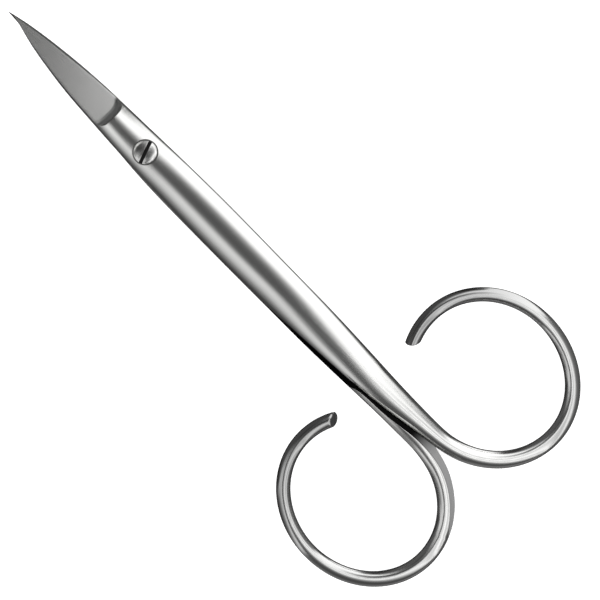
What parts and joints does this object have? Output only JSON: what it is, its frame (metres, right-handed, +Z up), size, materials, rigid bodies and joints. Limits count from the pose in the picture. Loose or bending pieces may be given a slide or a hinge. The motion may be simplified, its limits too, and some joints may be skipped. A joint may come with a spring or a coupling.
{
  "type": "thread snips",
  "caption": "Small all-steel thread snips with slim pointed blades, a slotted pivot screw and two open wire finger rings, shown closed.",
  "frame": {"origin": "on the pivot axis, at the flat tail of the pivot screw, which is level with the lowest line of the snips lying flat", "axes": "+X from the pivot along the closed blades to the tip, +Y to the left seen from above, +Z up along the pivot axis; the finger rings are on -X"},
  "size_m": [0.0907, 0.045, 0.0036],
  "materials": {
    "satin_steel": "satin polished stainless steel, lines along the bar",
    "screw_steel": "bright turned stainless steel"
  },
  "bodies": {
    "back": {"back_half": "satin_steel", "pivot_screw": "screw_steel"},
    "front": {"front_half": "satin_steel"}
  },
  "joints": [
    {"name": "pivot", "type": "hinge", "parent": "back", "child": "front", "pos_m": [0, 0, 0.0018], "axis": [0, 0, 1], "range_deg": [0, 60]}
  ]
}
